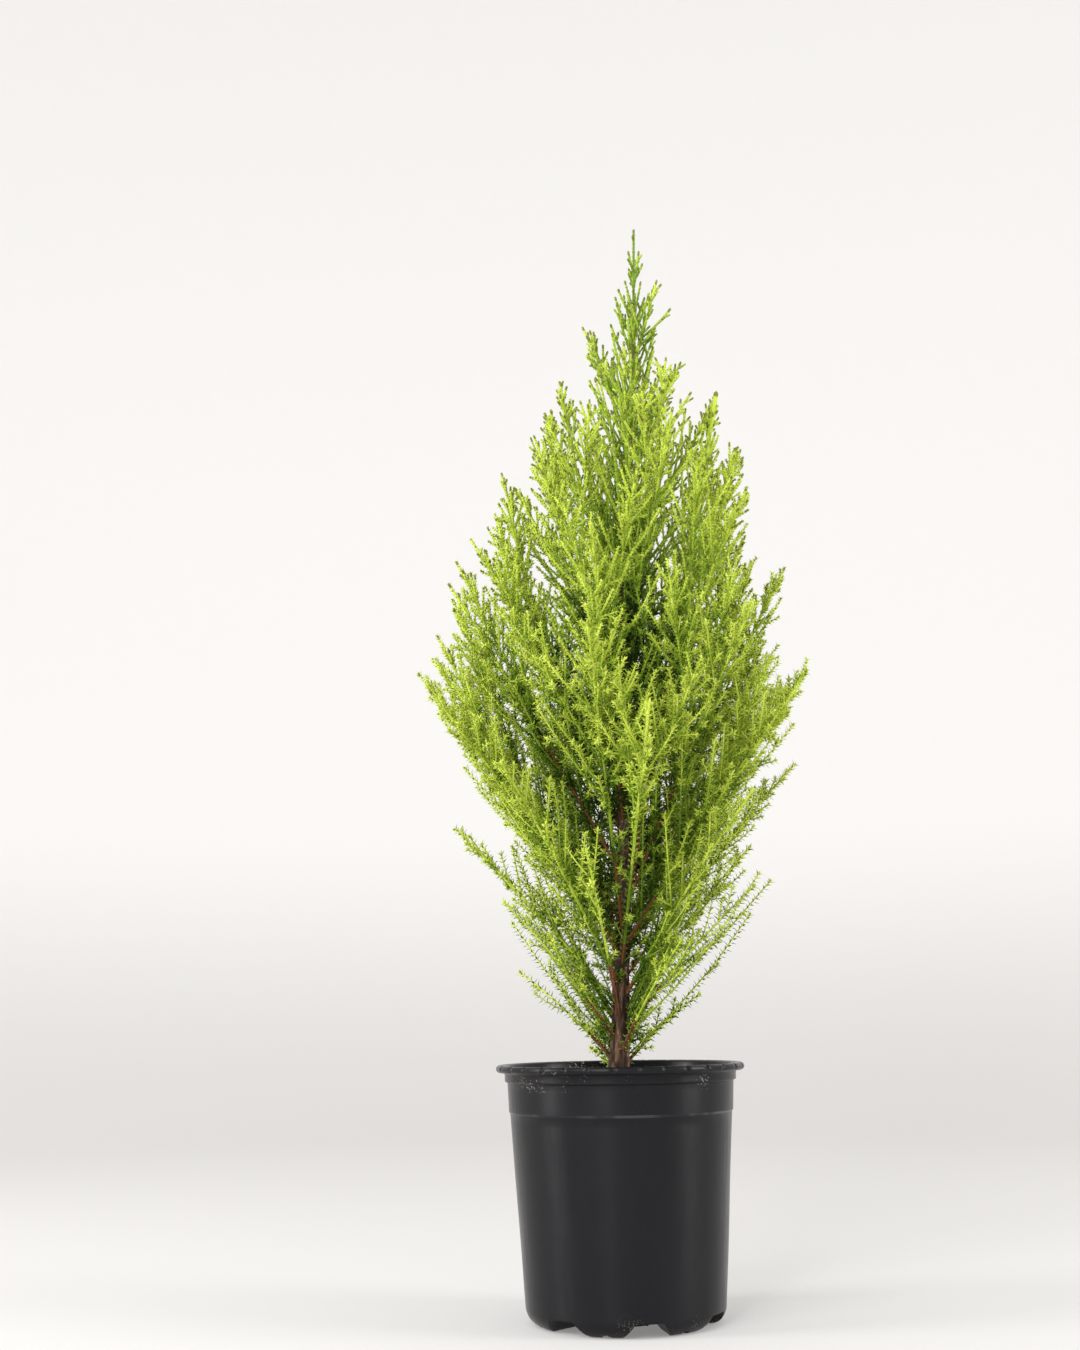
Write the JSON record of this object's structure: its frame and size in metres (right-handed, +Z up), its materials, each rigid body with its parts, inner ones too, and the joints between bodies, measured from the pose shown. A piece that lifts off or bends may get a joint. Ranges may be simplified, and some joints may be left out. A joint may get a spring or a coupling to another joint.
{
  "type": "potted conifer",
  "caption": "Young lemon cypress with a spindle-shaped crown of feathery upright sprays on a slim leaning trunk, growing in a plain black nursery pot.",
  "frame": {"origin": "middle of the flat underside of the pot, on the pot's axis, where it stands on the ground", "axes": "+Z up along the pot's axis, -Y towards the front that the picture shows, +X to the picture's right"},
  "size_m": [0.2725, 0.2955, 0.765],
  "materials": {
    "pot": "satin",
    "soil": "matte",
    "bark": "matte",
    "foliage": "matte"
  },
  "bodies": {
    "root": {"pot": "pot", "soil": "soil", "trunk": "bark", "bough_01": "bark", "bough_02": "bark", "bough_03": "bark", "bough_04": "bark", "bough_05": "bark", "bough_06": "bark", "bough_07": "bark", "bough_08": "bark", "bough_fork": "bark", "foliage_01": "foliage", "foliage_02": "foliage", "foliage_03": "foliage", "foliage_04": "foliage", "foliage_05": "foliage", "foliage_06": "foliage", "foliage_07": "foliage", "foliage_08": "foliage", "foliage_09": "foliage", "foliage_10": "foliage", "foliage_11": "foliage", "foliage_12": "foliage", "foliage_13": "foliage", "foliage_14": "foliage", "foliage_15": "foliage", "foliage_16": "foliage", "foliage_17": "foliage", "foliage_18": "foliage", "foliage_19": "foliage", "foliage_20": "foliage", "foliage_21": "foliage", "foliage_22": "foliage", "foliage_23": "foliage", "foliage_24": "foliage", "foliage_25": "foliage", "foliage_26": "foliage", "foliage_27": "foliage", "foliage_28": "foliage", "foliage_29": "foliage", "foliage_30": "foliage", "foliage_31": "foliage", "foliage_32": "foliage", "foliage_33": "foliage", "foliage_34": "foliage", "foliage_35": "foliage", "foliage_36": "foliage", "foliage_37": "foliage", "foliage_38": "foliage", "foliage_39": "foliage", "foliage_40": "foliage", "foliage_41": "foliage", "foliage_42": "foliage", "foliage_43": "foliage", "foliage_44": "foliage", "foliage_45": "foliage", "foliage_fork": "foliage", "foliage_leader": "foliage"}
  },
  "joints": []
}
